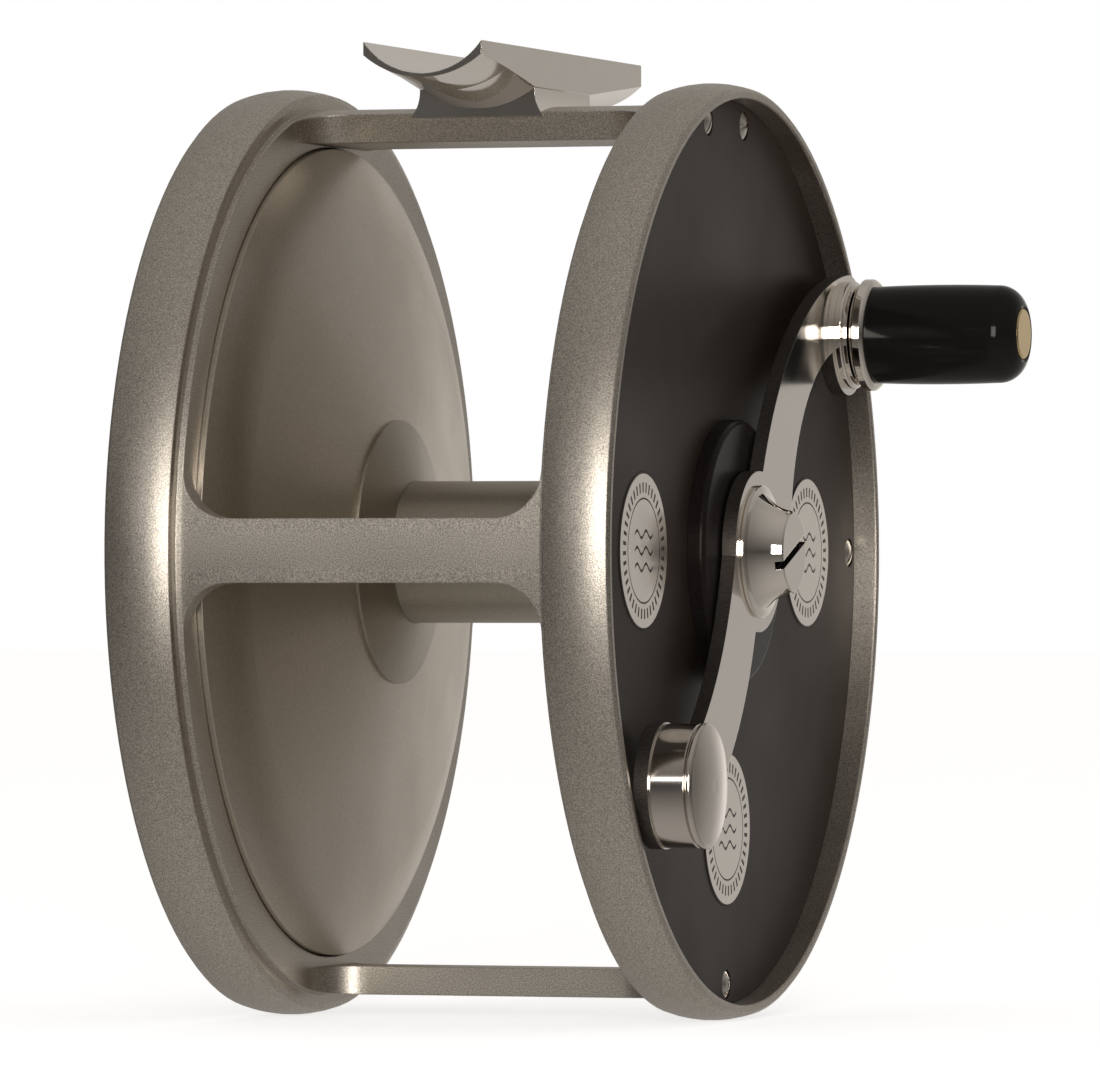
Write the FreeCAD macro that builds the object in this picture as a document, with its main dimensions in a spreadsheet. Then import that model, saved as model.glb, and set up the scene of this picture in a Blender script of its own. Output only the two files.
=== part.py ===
import FreeCAD, Part
import os
import re
import Sketcher

Vector = FreeCAD.Vector

# The fly reel hangs under a rod. Millimetres. The origin is on the rod's axis, above the middle
# of the foot. +Z is up, +X runs along the spindle towards the crank, and the rod runs along Y.
# "Front" is the crank side (+X), "rear" is the drag knob side (-X).

DIMENSIONS = {
    "turned_edge": 0.15,          # small bevel on turned edges
    "cut_over": 1.0,              # how far a cutting shape runs past the metal
    # cage
    "axis_drop": 60.95,           # rod axis to spindle axis
    "front_face": 28.85,          # x of the front rim's face
    "cage_length": 57.7,
    "rim_width": 7.7,
    "rim_edge_radius": 51.75,     # where the crown ends
    "rim_crown": 11.0,            # radius of the crowned rim in section
    "rim_lip_radius": 51.35,      # inner edge of the face ring
    "rim_face_rise": 0.35,        # how far the face ring slopes back to the crown
    "rim_back_step": 1.1,         # flat back of a rim, above the drum
    "rim_back_foot": 0.1,
    "seat_bevel": 0.2,
    "tapped_depth": 3.0,          # of the holes for the plate screws
    "plate_seat_radius": 50.6,
    "ledge_radius": 45.8,
    "drum_radius": 50.0,          # between the rims
    "pillar_inner": 46.7,
    "window_lip": 0.7,
    "pillar_width": 7.0,
    "top_pillar_width": 16.4,     # at its underside; its sides lean outwards
    "top_pillar_spread": 25.4,    # its width at pillar_top, before the drum trims it
    "window_corner": 5.2,
    "pillar_reach": 1.0,          # how far a pillar runs into its ring
    "top_underside": 45.9,        # spindle axis up to the top pillar's underside
    "cutter_margin": 3.0,
    "pillar_top": 56.0,
    # plates
    "plate_setback": 2.8,
    "plate_thickness": 1.6,
    "plate_radius": 50.55,
    "plate_bore": 7.85,
    "plate_screw_circle": 48.35,
    "plate_screw_hole": 1.0,
    "plate_screw_shank": 0.95,
    "plate_screw_head": 1.6,
    "plate_screw_sink": 0.5,
    "plate_screw_sink_radius": 1.65,
    "plate_screw_proud": 0.3,
    "plate_screw_length": 3.9,
    "screw_slot_width": 0.45,
    "screw_slot_depth": 0.45,
    "screw_side_share": 0.35,     # upright part of a screw head's height
    "screw_dome_ratio": 1.9,      # radius of a screw head's dome to the head's own radius
    "medallion_circle": 31.0,
    "medallion_radius": 8.6,
    "medallion_sink": 0.4,
    "medallion_sink_radius": 8.62,
    "medallion_thickness": 0.55,
    "medallion_edge": 0.12,
    # bearing housings
    "housing_flange_radius": 14.75,
    "housing_flange_thickness": 2.0,
    "housing_flange_round": 0.6,
    "housing_barrel_radius": 7.8,
    "housing_barrel_depth": 7.4,
    "housing_web": 1.5,
    "housing_web_bore": 3.4,
    "housing_bore": 5.4,
    "bearing_radius": 6.35,
    "bearing_width": 3.0,
    "bearing_ring": 0.95,
    "bearing_inset": 0.2,
    "ball_circle": 4.675,
    "ball_radius": 0.7,
    # spindle and spool
    "spindle_radius": 3.0,
    "spindle_bevel": 0.3,
    "spindle_rear_clearance": 1.2,
    "spindle_thread_radius": 2.4,
    "spindle_thread_length": 2.9,
    "flange_root": 16.0,          # cage face to the flange's arbor side, at the hub
    "flange_flat_radius": 14.9,
    "flange_cone_radius": 38.0,
    "flange_cone_rise": 4.07,
    "flange_rim_radius": 45.6,
    "flange_rim_rise": 6.95,
    "flange_shoulder": 21.5,
    "flange_thickness": 1.3,
    "flange_back_radius": 40.5,
    "flange_back_rise": 5.9,
    "arbor_radius": 8.0,
    "arbor_bore": 6.4,
    "collar_edge": 0.4,
    "collar_height": 2.2,
    # click wheel and pawl
    "click_radius": 13.0,
    "click_teeth": 36,
    "click_tooth_depth": 1.1,
    "click_tooth_half": 0.72,
    "click_setback": 11.0,
    "click_thickness": 1.8,
    "click_hub_radius": 6.0,
    "click_hub_length": 3.7,
    "pawl_side": 10.5,
    "pawl_drop": 17.0,
    "pawl_eye_radius": 2.6,
    "pawl_bore": 1.25,
    "pawl_thickness": 1.5,
    "pawl_setback": 11.15,
    "pawl_nose_tip": 12.25,
    "pawl_nose_root": 14.6,
    "pawl_nose_half": 1.25,
    "pawl_tip_half": 0.18,
    "pawl_heel_rise": 0.4,
    "pawl_back_inset": 0.5,
    "pawl_top_drop": 0.05,
    "post_radius": 1.2,
    "post_neck_length": 1.8,
    "post_head_radius": 1.9,
    "post_head_thickness": 0.3,
    "post_foot_radius": 2.2,
    "post_foot_length": 6.55,
    "spring_thickness": 0.4,
    "spring_top": 16.95,
    "spring_tip": 0.6,
    "spring_root": 14.0,
    "spring_overlap": 1.0,
    "spring_width": 1.3,
    "spring_block_side": 18.0,
    "spring_block_drop": 20.5,
    "spring_block_length": 8.1,
    # drag
    "drag_disc_radius": 32.0,
    "drag_disc_setback": 7.1,
    "drag_disc_thickness": 1.2,
    "drag_hub_bore": 9.4,
    "drag_hub_radius": 12.5,
    "drag_hub_length": 7.6,
    "pressure_radius": 30.5,
    "pressure_bore": 9.3,
    "pressure_setback": 5.1,
    "pressure_thickness": 1.1,
    "friction_bore": 18.0,
    "friction_inset": 0.5,
    "friction_thickness": 0.5,
    "push_pin_circle": 10.6,
    "push_pin_radius": 0.9,
    "push_pin_hole": 1.1,
    "push_pin_tail": 0.1,
    "knob_radius": 11.5,
    "knob_flange_radius": 12.4,
    "knob_flange_height": 2.5,
    "knob_bevel": 0.3,
    "knob_shoulder_inset": 1.0,
    "knob_shoulder_round": 3.0,
    "knob_crown_inset": 2.2,
    "knob_crown_drop": 0.6,
    "knob_crown_round": 0.6,
    "knob_face_inset": 2.8,
    "knob_height": 5.0,
    "knob_gap": 0.3,
    "knob_bore": 3.05,
    "knob_recess_radius": 5.2,
    "knob_recess_depth": 1.6,
    "knob_flutes": 36,
    "knob_flute_radius": 0.55,
    "knob_flute_offset": 0.22,
    "stud_radius": 3.0,
    "stud_tap_radius": 1.6,
    "stud_tap_depth": 3.0,
    "stud_height": 3.8,
    "knob_screw_head": 4.6,
    "knob_screw_thickness": 1.3,
    "knob_screw_slot": 1.0,
    "knob_screw_slot_depth": 0.7,
    "knob_screw_gap": 0.2,        # below the screw's tip
    # crank
    "crank_gap": 0.25,
    "crank_thickness": 1.6,
    "crank_hub_radius": 9.0,
    "eye_radius": 6.9,
    "handle_side": 35.3,
    "handle_rise": 25.0,
    "weight_side": -34.5,
    "weight_rise": -25.5,
    "arm_root_side": 1.5,         # both arms' outer edges leave the hub here
    "arm_root_rise": 9.1,
    "eye_top_side": 0.7,          # where an outer edge meets its eye, seen from the eye
    "eye_top_rise": 6.86,
    "eye_join_side": 6.5,         # where an inner edge meets its eye
    "eye_join_rise": 2.1,
    "handle_arm_outer": 41.5,     # radii of the arms' edges
    "handle_arm_inner": 22.0,
    "weight_arm_outer": 36.5,
    "weight_arm_inner": 36.0,
    "handle_heel_side": 12.6,     # where the inner edges end near the hub
    "handle_heel_rise": 5.9,
    "handle_toe_side": 8.6,
    "handle_toe_rise": -2.5,
    "handle_toe_radius": 14.0,
    "weight_heel_side": -9.0,
    "weight_heel_rise": -0.5,
    # crank nut
    "nut_flange_radius": 7.44,
    "nut_flange_thickness": 0.45,
    "nut_root_radius": 6.5,
    "nut_face_radius": 4.5,
    "nut_height": 4.1,
    "nut_cove": 5.5,
    "nut_slot": 0.9,
    "nut_slot_depth": 0.9,
    "nut_slot_tilt": 20.0,
    "nut_bevel": 0.1,
    # handle
    "boss_collar_radius": 6.2,
    "boss_collar_height": 0.95,
    "boss_collar_round": 0.3,
    "boss_neck_radius": 5.75,
    "boss_height": 1.4,
    "running_gap": 0.3,
    "ferrule_length": 1.8,
    "ferrule_radius": 6.41,
    "ferrule_round": 0.5,
    "ferrule_cove": 1.2,
    "ferrule_lip": 0.2,
    "ferrule_shoulder": 0.8,
    "knob_grip_radius": 5.7,
    "knob_grip_length": 17.4,
    "knob_grip_end_round": 3.0,
    "knob_grip_swell": 180.0,     # radius of the grip's gently curved side
    "knob_grip_taper": 0.1,
    "knob_grip_mouth": 0.4,
    "pin_radius": 2.0,
    "pin_clearance": 0.06,
    "pin_head_radius": 2.9,
    "pin_head_thickness": 1.2,
    "pin_head_play": 0.1,
    "pin_proud": 0.05,
    "pin_rivet_radius": 2.6,
    "pin_rivet_thickness": 0.5,
    # counterweight
    "weight_rivet_radius": 2.0,
    "weight_rivet_head": 3.0,
    "weight_rivet_thickness": 0.5,
    "weight_rivet_reach": 2.5,    # into the drum
    "weight_radius": 6.75,
    "weight_length": 4.15,
    "weight_groove": 0.25,
    "weight_cap_radius": 6.86,
    "weight_cap_length": 0.8,
    "weight_cap_rise": 0.6,
    "weight_cap_flat": 1.0,
    "weight_cap_dome": 30.0,
    "weight_cap_edge": 0.5,
    # foot
    "foot_length": 58.0,
    "foot_width": 13.7,
    "seat_radius": 8.4,
    "foot_edge_height": 4.8,
    "foot_root_reach": 10.0,      # half the length of the thick middle
    "foot_root_thickness": 3.0,
    "foot_root_radius": 11.4,
    "near_middle_reach": 20.0,
    "near_middle_thickness": 1.45,
    "near_middle_radius": 11.1,
    "near_tip_thickness": 0.45,
    "near_tip_radius": 10.6,
    "far_tip_thickness": 1.6,
    "far_tip_radius": 10.0,
    "pedestal_length": 20.0,
    "pedestal_base_width": 15.6,
    "pedestal_top_width": 13.5,
    "pedestal_flare": 4.4,
    "pedestal_flare_height": 2.9,
    "pedestal_drop": 12.35,
    "pedestal_overlap": 1.0,
    "foot_screw_pitch": 10.6,
    "foot_screw_radius": 1.1,
    "foot_screw_head": 1.6,
    "foot_screw_head_height": 1.1,
    "foot_screw_length": 4.2,
    "foot_screw_play": 0.05,
}

doc = FreeCAD.newDocument("fly_reel")
dims = doc.addObject("Spreadsheet::Sheet", "dims")
for row, (alias, number) in enumerate(DIMENSIONS.items(), start=1):
    dims.set("A%d" % row, alias)
    dims.set("B%d" % row, str(number))
    dims.setAlias("B%d" % row, alias)
doc.recompute()

ALIAS = re.compile(r"\b(" + "|".join(sorted(DIMENSIONS, key=len, reverse=True)) + r")\b")
FRONT = FreeCAD.Rotation(Vector(0, 1, 0), Vector(0, 0, 1), Vector(1, 0, 0), "XYZ")
REAR = FreeCAD.Rotation(Vector(0, -1, 0), Vector(0, 0, 1), Vector(-1, 0, 0), "XYZ")
UPRIGHT = FreeCAD.Rotation()
AXIS_Z = "-axis_drop"
nodes = []


def linked(expression):
    """The expression as other objects see it, with the sheet's name before each alias."""
    return ALIAS.sub(r"dims.\1", expression)


def value(expression):
    """What an expression of the sheet comes to, in millimetres."""
    return float(dims.evalExpression(expression))


def place(obj, x="0", y="0", z=AXIS_Z, rotation=FRONT):
    """Puts an object's own origin at x, y, z, each bound to the sheet."""
    obj.Placement = FreeCAD.Placement(Vector(value(x), value(y), value(z)), rotation)
    obj.setExpression("Placement.Base.x", linked(x))
    obj.setExpression("Placement.Base.y", linked(y))
    obj.setExpression("Placement.Base.z", linked(z))
    return obj


def keep(obj, name):
    """Names an object as one of the reel's pieces."""
    obj.Label = name
    nodes.append(obj)
    return obj


def new_body(name):
    return doc.addObject("PartDesign::Body", name)


def sketch_on(body, name, role):
    """A sketch on one of the body's own origin planes."""
    plane = [item for item in body.Origin.OriginFeatures if item.Role == role][0]
    sketch = body.newObject("Sketcher::SketchObject", name)
    sketch.AttachmentSupport = [(plane, "")]
    sketch.MapMode = "FlatFace"
    return sketch


def bind_point(sketch, edge, end, across, along):
    """Holds one end of a sketch edge at (across, along), both bound to the sheet."""
    for kind, axis, expression in (("DistanceX", -2, across), ("DistanceY", -1, along)):
        if expression == "0":
            sketch.addConstraint(Sketcher.Constraint("PointOnObject", edge, end, axis))
            continue
        number = value(expression)
        index = sketch.addConstraint(Sketcher.Constraint(kind, -1, 1, edge, end, number))
        sketch.setExpression("Constraints[%d]" % index, linked(expression))


def arc_between(start, end, radius, side):
    """A circular arc from start to end that bulges to the left (side 1) or right (side -1)."""
    chord = end - start
    half = chord.Length / 2
    left = Vector(-chord.y, chord.x, 0).normalize()
    offset = max(radius * radius - half * half, 0) ** 0.5
    centre = (start + end) / 2 - left * side * offset
    first, last = (end, start) if side > 0 else (start, end)
    circle = Part.Circle(centre, Vector(0, 0, 1), radius)
    return Part.ArcOfCircle(circle, circle.parameter(first), circle.parameter(last))


def draw_outline(sketch, points):
    """Draws a closed outline. A point is (across, along) for a straight edge towards it, or
    (across, along, radius, side) for an arc towards it."""
    spots = [Vector(value(point[0]), value(point[1]), 0) for point in points]
    ends = []
    for index, point in enumerate(points):
        start, end = spots[index - 1], spots[index]
        if len(point) == 2:
            edge = sketch.addGeometry(Part.LineSegment(start, end), False)
            ends.append((edge, 1, 2))
            continue
        arc = arc_between(start, end, value(point[2]), point[3])
        edge = sketch.addGeometry(arc, False)
        ends.append((edge, 2, 1) if point[3] > 0 else (edge, 1, 2))
        radius = sketch.addConstraint(Sketcher.Constraint("Radius", edge, value(point[2])))
        sketch.setExpression("Constraints[%d]" % radius, linked(point[2]))
    for index, point in enumerate(points):
        edge, _, end = ends[index]
        following, start, _ = ends[(index + 1) % len(points)]
        sketch.addConstraint(Sketcher.Constraint("Coincident", edge, end, following, start))
        bind_point(sketch, edge, end, point[0], point[1])


def draw_circles(sketch, circles):
    """Draws circles, each (across, along, radius)."""
    for across, along, radius in circles:
        centre = Vector(value(across), value(along), 0)
        edge = sketch.addGeometry(Part.Circle(centre, Vector(0, 0, 1), value(radius)), False)
        bind_point(sketch, edge, 3, across, along)
        index = sketch.addConstraint(Sketcher.Constraint("Radius", edge, value(radius)))
        sketch.setExpression("Constraints[%d]" % index, linked(radius))


def draw_slot_box(sketch, half_length, half_width):
    """Draws a rectangle centred on the sketch's origin."""
    draw_outline(sketch, [
        ("-(%s)" % half_length, "-(%s)" % half_width),
        (half_length, "-(%s)" % half_width),
        (half_length, half_width),
        ("-(%s)" % half_length, half_width)])


def turned(name, outline):
    """A body turned about its own Z axis from an outline of (radius, height) points."""
    body = new_body(name)
    sketch = sketch_on(body, name + "_outline", "XZ_Plane")
    draw_outline(sketch, outline)
    revolution = body.newObject("PartDesign::Revolution", name + "_turning")
    revolution.Profile = sketch
    revolution.ReferenceAxis = (sketch, ["V_Axis"])
    revolution.Angle = 360
    return body


def padded(body, name, draw, length, reverse=False):
    """Adds a pad from the body's XY plane; draw fills in its sketch."""
    sketch = sketch_on(body, name + "_outline", "XY_Plane")
    draw(sketch)
    pad = body.newObject("PartDesign::Pad", name)
    pad.Profile = sketch
    pad.Length = value(length)
    pad.setExpression("Length", linked(length))
    pad.Reversed = reverse
    return pad


def pocketed(body, name, draw, depth=None, start="0", turn=0):
    """Cuts from height start down by depth, or through everything when depth is not given."""
    sketch = sketch_on(body, name + "_outline", "XY_Plane")
    draw(sketch)
    turned_by = FreeCAD.Rotation(Vector(0, 0, 1), turn)
    sketch.AttachmentOffset = FreeCAD.Placement(Vector(0, 0, value(start)), turned_by)
    sketch.setExpression("AttachmentOffset.Base.z", linked(start))
    doc.recompute()
    before = body.Shape.Volume
    pocket = body.newObject("PartDesign::Pocket", name)
    pocket.Profile = sketch
    if depth is None:
        pocket.Type = "ThroughAll"
        pocket.Midplane = True
    else:
        pocket.Length = value(depth)
        pocket.setExpression("Length", linked(depth))
    doc.recompute()
    if not body.Shape.Volume < before:
        raise RuntimeError(name + " cuts nothing")
    return pocket


def polar(body, name, feature, count):
    """Repeats a feature round the body's Z axis."""
    pattern = body.newObject("PartDesign::PolarPattern", name)
    pattern.Originals = [feature]
    axis = [item for item in body.Origin.OriginFeatures if item.Role == "Z_Axis"][0]
    pattern.Axis = (axis, [""])
    pattern.Angle = 360
    pattern.Occurrences = int(value(count))
    pattern.setExpression("Occurrences", linked(count))
    body.Tip = pattern
    return pattern


def group(name, members):
    """One piece of several separate solids, such as a set of screws."""
    compound = doc.addObject("Part::Compound", name)
    compound.Links = members
    return keep(compound, name)


def on_circle(radius, degrees):
    """The two coordinates of a point on a circle, as expressions."""
    return "(%s) * cos(%g)" % (radius, degrees), "(%s) * sin(%g)" % (radius, degrees)


def slotted_screw(name, head, head_height, shank, length, slot, slot_depth, turn):
    """A screw along its own Z axis: head from z = 0 up, shank below, slot across the top."""
    crown = "(%s) * screw_side_share" % head_height
    body = turned(name, [
        ("0", "-(%s)" % length),
        (shank, "-(%s)" % length),
        (shank, "0"),
        (head, "0"),
        (head, crown),
        ("0", head_height, "(%s) * screw_dome_ratio" % head, -1)])
    pocketed(body, name + "_slot",
             lambda sketch: draw_slot_box(sketch, head + " + cut_over", "(%s) / 2" % slot),
             slot_depth + " + cut_over", head_height + " + cut_over", turn)
    return body


# ---- cage ----

def drum_blank():
    """The whole drum before its windows are cut, turned from one outline."""
    length = "cage_length"
    return turned("cage_drum", [
        ("rim_lip_radius", "0"),
        ("rim_edge_radius", "rim_face_rise"),
        ("rim_edge_radius", "rim_width - turned_edge", "rim_crown", -1),
        ("drum_radius + rim_back_step", "rim_width"),
        ("drum_radius + rim_back_foot", "rim_width"),
        ("drum_radius", "rim_width + window_lip"),
        ("drum_radius", length + " - rim_width - window_lip"),
        ("drum_radius + rim_back_foot", length + " - rim_width"),
        ("drum_radius + rim_back_step", length + " - rim_width"),
        ("rim_edge_radius", length + " - rim_width + turned_edge"),
        ("rim_edge_radius", length + " - rim_face_rise", "rim_crown", -1),
        ("rim_lip_radius", length),
        ("plate_seat_radius + turned_edge", length),
        ("plate_seat_radius", length + " - seat_bevel"),
        ("plate_seat_radius", length + " - plate_setback - plate_thickness"),
        ("ledge_radius", length + " - plate_setback - plate_thickness"),
        ("ledge_radius", "plate_setback + plate_thickness"),
        ("plate_seat_radius", "plate_setback + plate_thickness"),
        ("plate_seat_radius", "seat_bevel"),
        ("plate_seat_radius + turned_edge", "0")])


def window_ring():
    """The ring of space that the windows are cut from."""
    return turned("window_ring", [
        ("ledge_radius - cutter_margin", "rim_width + window_lip"),
        ("drum_radius + cutter_margin", "rim_width + window_lip"),
        ("drum_radius + cutter_margin", "cage_length - rim_width - window_lip"),
        ("ledge_radius - cutter_margin", "cage_length - rim_width - window_lip")])


def draw_pillar(sketch, width):
    """A pillar seen from outside: straight between the rings, with a round flare into each."""
    half = "(%s) / 2" % width
    flared = "(%s) / 2 + window_corner" % width
    low = "rim_width + window_lip"
    high = "cage_length - rim_width - window_lip"
    draw_outline(sketch, [
        ("-(%s)" % flared, low + " - pillar_reach"),
        (flared, low + " - pillar_reach"),
        (flared, low),
        (half, low + " + window_corner", "window_corner", 1),
        (half, high + " - window_corner"),
        (flared, high, "window_corner", 1),
        (flared, high + " + pillar_reach"),
        ("-(%s)" % flared, high + " + pillar_reach"),
        ("-(%s)" % flared, high),
        ("-(%s)" % half, high + " - window_corner", "window_corner", 1),
        ("-(%s)" % half, low + " + window_corner"),
        ("-(%s)" % flared, low, "window_corner", 1)])


def pillar(name, degrees, width, inner, spread):
    """A pillar's block, width wide at its inner face and spread wide at pillar_top."""
    body = new_body(name)
    sections = []
    for level, across, reach in (("inner", width, inner), ("outer", spread, "pillar_top")):
        sketch = sketch_on(body, name + "_" + level, "XY_Plane")
        draw_pillar(sketch, across)
        sketch.AttachmentOffset = FreeCAD.Placement(Vector(0, 0, value(reach)),
                                                    FreeCAD.Rotation())
        sketch.setExpression("AttachmentOffset.Base.z", linked(reach))
        sections.append(sketch)
    loft = body.newObject("PartDesign::AdditiveLoft", name + "_block")
    loft.Profile = sections[0]
    loft.Sections = sections[1:]
    loft.Ruled = True
    outward = FreeCAD.Rotation(Vector(1, 0, 0), degrees).multVec(Vector(0, 1, 0))
    rotation = FreeCAD.Rotation(Vector(), Vector(1, 0, 0), outward, "ZYX")
    return place(body, "front_face - cage_length", rotation=rotation)


def cut(name, base, tool):
    result = doc.addObject("Part::Cut", name)
    result.Base = base
    result.Tool = tool
    return result


def fuse(name, members):
    result = doc.addObject("Part::MultiFuse", name)
    result.Shapes = members
    return result


def make_cage(foot, foot_screws):
    """The one-piece cage: two crowned rims joined by one wide pillar and three narrow ones."""
    drum = place(drum_blank(), "front_face - cage_length")
    for end, start in (("front", "cage_length - plate_setback - plate_thickness"),
                       ("rear", "plate_setback + plate_thickness + tapped_depth")):
        pocketed(drum, end + "_tapped_holes",
                 lambda sketch: draw_circles(sketch, screw_circles("plate_screw_hole")),
                 "tapped_depth", start)
    ring = place(window_ring(), "front_face - cage_length")
    pillars = [
        pillar("top_pillar", 90, "top_pillar_width", "top_underside", "top_pillar_spread"),
        pillar("far_pillar", 0, "pillar_width", "pillar_inner", "pillar_width"),
        pillar("low_pillar", 270, "pillar_width", "pillar_inner", "pillar_width"),
        pillar("near_pillar", 180, "pillar_width", "pillar_inner", "pillar_width")]
    windows = cut("windows", ring, fuse("pillars", pillars))
    open_drum = cut("open_drum", drum, windows)
    seated = cut("seated_drum", open_drum, foot)
    keep(cut("cage_solid", seated, foot_screws), "cage")


# ---- foot ----

def foot_section(body, name, along, size):
    """One cross-section of the foot: flat top, upright sides and a round underside. Its
    thickness below the seat and the underside's radius are the sheet's size_ values."""
    half = "foot_width / 2"
    bottom = "-(seat_radius + %s_thickness)" % size
    radius = size + "_radius"
    side = "%s + %s - sqrt(%s ^ 2 - (foot_width / 2) ^ 2)" % (bottom, radius, radius)
    sketch = sketch_on(body, name, "XZ_Plane")
    draw_outline(sketch, [
        ("-" + half, "-foot_edge_height"),
        ("-" + half, side),
        (half, side, radius, -1),
        (half, "-foot_edge_height")])
    sketch.AttachmentOffset = FreeCAD.Placement(Vector(0, 0, value(along)), FreeCAD.Rotation())
    sketch.setExpression("AttachmentOffset.Base.z", linked(along))
    return sketch


def make_foot(foot_screws):
    """The foot: a trough for the rod, thin at both ends, on a pedestal that flares out below."""
    body = new_body("foot_blank")
    sections = [
        foot_section(body, "near_tip", "foot_length / 2", "near_tip"),
        foot_section(body, "near_middle", "near_middle_reach", "near_middle"),
        foot_section(body, "near_root", "foot_root_reach", "foot_root"),
        foot_section(body, "far_root", "-foot_root_reach", "foot_root"),
        foot_section(body, "far_tip", "-foot_length / 2", "far_tip")]
    loft = body.newObject("PartDesign::AdditiveLoft", "foot_wings")
    loft.Profile = sections[0]
    loft.Sections = sections[1:]
    loft.Ruled = True

    pedestal = sketch_on(body, "pedestal_outline", "XZ_Plane")
    flare_end = "-pedestal_drop + pedestal_flare_height"
    draw_outline(pedestal, [
        ("-pedestal_base_width / 2", "-pedestal_drop", "pedestal_flare", 1),
        ("pedestal_base_width / 2", "-pedestal_drop"),
        ("pedestal_top_width / 2", flare_end, "pedestal_flare", 1),
        ("pedestal_top_width / 2", "-foot_edge_height - pedestal_overlap"),
        ("-pedestal_top_width / 2", "-foot_edge_height - pedestal_overlap"),
        ("-pedestal_top_width / 2", flare_end)])
    pad = body.newObject("PartDesign::Pad", "pedestal")
    pad.Profile = pedestal
    pad.Midplane = True
    pad.Length = value("pedestal_length")
    pad.setExpression("Length", linked("pedestal_length"))

    seat = sketch_on(body, "seat_outline", "XZ_Plane")
    draw_circles(seat, [("0", "0", "seat_radius")])
    doc.recompute()
    before = body.Shape.Volume
    pocket = body.newObject("PartDesign::Pocket", "seat")
    pocket.Profile = seat
    pocket.Type = "ThroughAll"
    pocket.Midplane = True
    doc.recompute()
    if not body.Shape.Volume < before:
        raise RuntimeError("the seat cuts nothing")
    return keep(cut("foot_solid", body, foot_screws), "reel_foot")


FOOT_SCREW_TURNS = (35, 105)


def make_foot_screws():
    """Two screws that come up through the top pillar into the foot."""
    screws = []
    for index, side in enumerate(("-", "")):
        screw = slotted_screw("foot_screw_%d" % (index + 1), "foot_screw_head",
                              "foot_screw_head_height", "foot_screw_radius",
                              "foot_screw_length", "screw_slot_width", "screw_slot_depth",
                              FOOT_SCREW_TURNS[index])
        upside_down = FreeCAD.Rotation(Vector(1, 0, 0), 180)
        place(screw, side + "foot_screw_pitch / 2", "0",
              "top_underside + foot_screw_head_height + foot_screw_play - axis_drop",
              upside_down)
        screws.append(screw)
    return group("foot_screws", screws)


# ---- plates, medallions and their screws ----

SCREW_ANGLES = (98, 82, 0, 180, 270)
SCREW_TURNS = (70, 12, 62, 35, 88)
MEDALLION_ANGLES = {"near": 180, "far": 0, "low": 270}
PUSH_PIN_ANGLES = (90, 210, 330)


def screw_circles(radius):
    """The plate screws' places, as circles for a sketch."""
    return [on_circle("plate_screw_circle", degrees) + (radius,) for degrees in SCREW_ANGLES]


def make_plate(end, x, rotation, medallions, push_holes):
    """A black plate, its outer face at the body's origin."""
    body = new_body(end + "_plate_body")
    padded(body, end + "_plate_disc",
           lambda sketch: draw_circles(sketch, [("0", "0", "plate_radius"),
                                                ("0", "0", "plate_bore")]),
           "plate_thickness", reverse=True)
    pocketed(body, end + "_plate_holes",
             lambda sketch: draw_circles(sketch, screw_circles("plate_screw_hole")),
             "plate_thickness + cut_over")
    pocketed(body, end + "_plate_counterbores",
             lambda sketch: draw_circles(sketch, screw_circles("plate_screw_sink_radius")),
             "plate_screw_sink")
    if medallions:
        spots = [on_circle("medallion_circle", degrees) + ("medallion_sink_radius",)
                 for degrees in MEDALLION_ANGLES.values()]
        pocketed(body, end + "_plate_recesses", lambda sketch: draw_circles(sketch, spots),
                 "medallion_sink")
    if push_holes:
        spots = [on_circle("push_pin_circle", degrees) + ("push_pin_hole",)
                 for degrees in PUSH_PIN_ANGLES]
        pocketed(body, end + "_plate_push_holes",
                 lambda sketch: draw_circles(sketch, spots), "plate_thickness + cut_over")
    keep(place(body, x, rotation=rotation), end + "_plate")

    screws = []
    for index, degrees in enumerate(SCREW_ANGLES):
        screw = slotted_screw("%s_plate_screw_%d" % (end, index + 1), "plate_screw_head",
                              "plate_screw_sink + plate_screw_proud", "plate_screw_shank",
                              "plate_screw_length", "screw_slot_width", "screw_slot_depth",
                              SCREW_TURNS[index])
        across, up = on_circle("plate_screw_circle", degrees)
        side = "" if end == "front" else "-"
        sunk = " - plate_screw_sink" if end == "front" else " + plate_screw_sink"
        place(screw, x + sunk, side + across, up + " - axis_drop", rotation)
        screws.append(screw)
    group(end + "_plate_screws", screws)


def make_medallions():
    """Three polished discs let into the front plate."""
    for name, degrees in MEDALLION_ANGLES.items():
        body = turned(name + "_medallion_body", [
            ("0", "0"),
            ("medallion_radius", "0"),
            ("medallion_radius", "medallion_thickness - medallion_edge"),
            ("medallion_radius - medallion_edge", "medallion_thickness"),
            ("0", "medallion_thickness")])
        across, up = on_circle("medallion_circle", degrees)
        place(body, "front_face - plate_setback - medallion_sink", across,
              up + " - axis_drop")
        keep(body, name + "_medallion")


# ---- bearings ----

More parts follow.
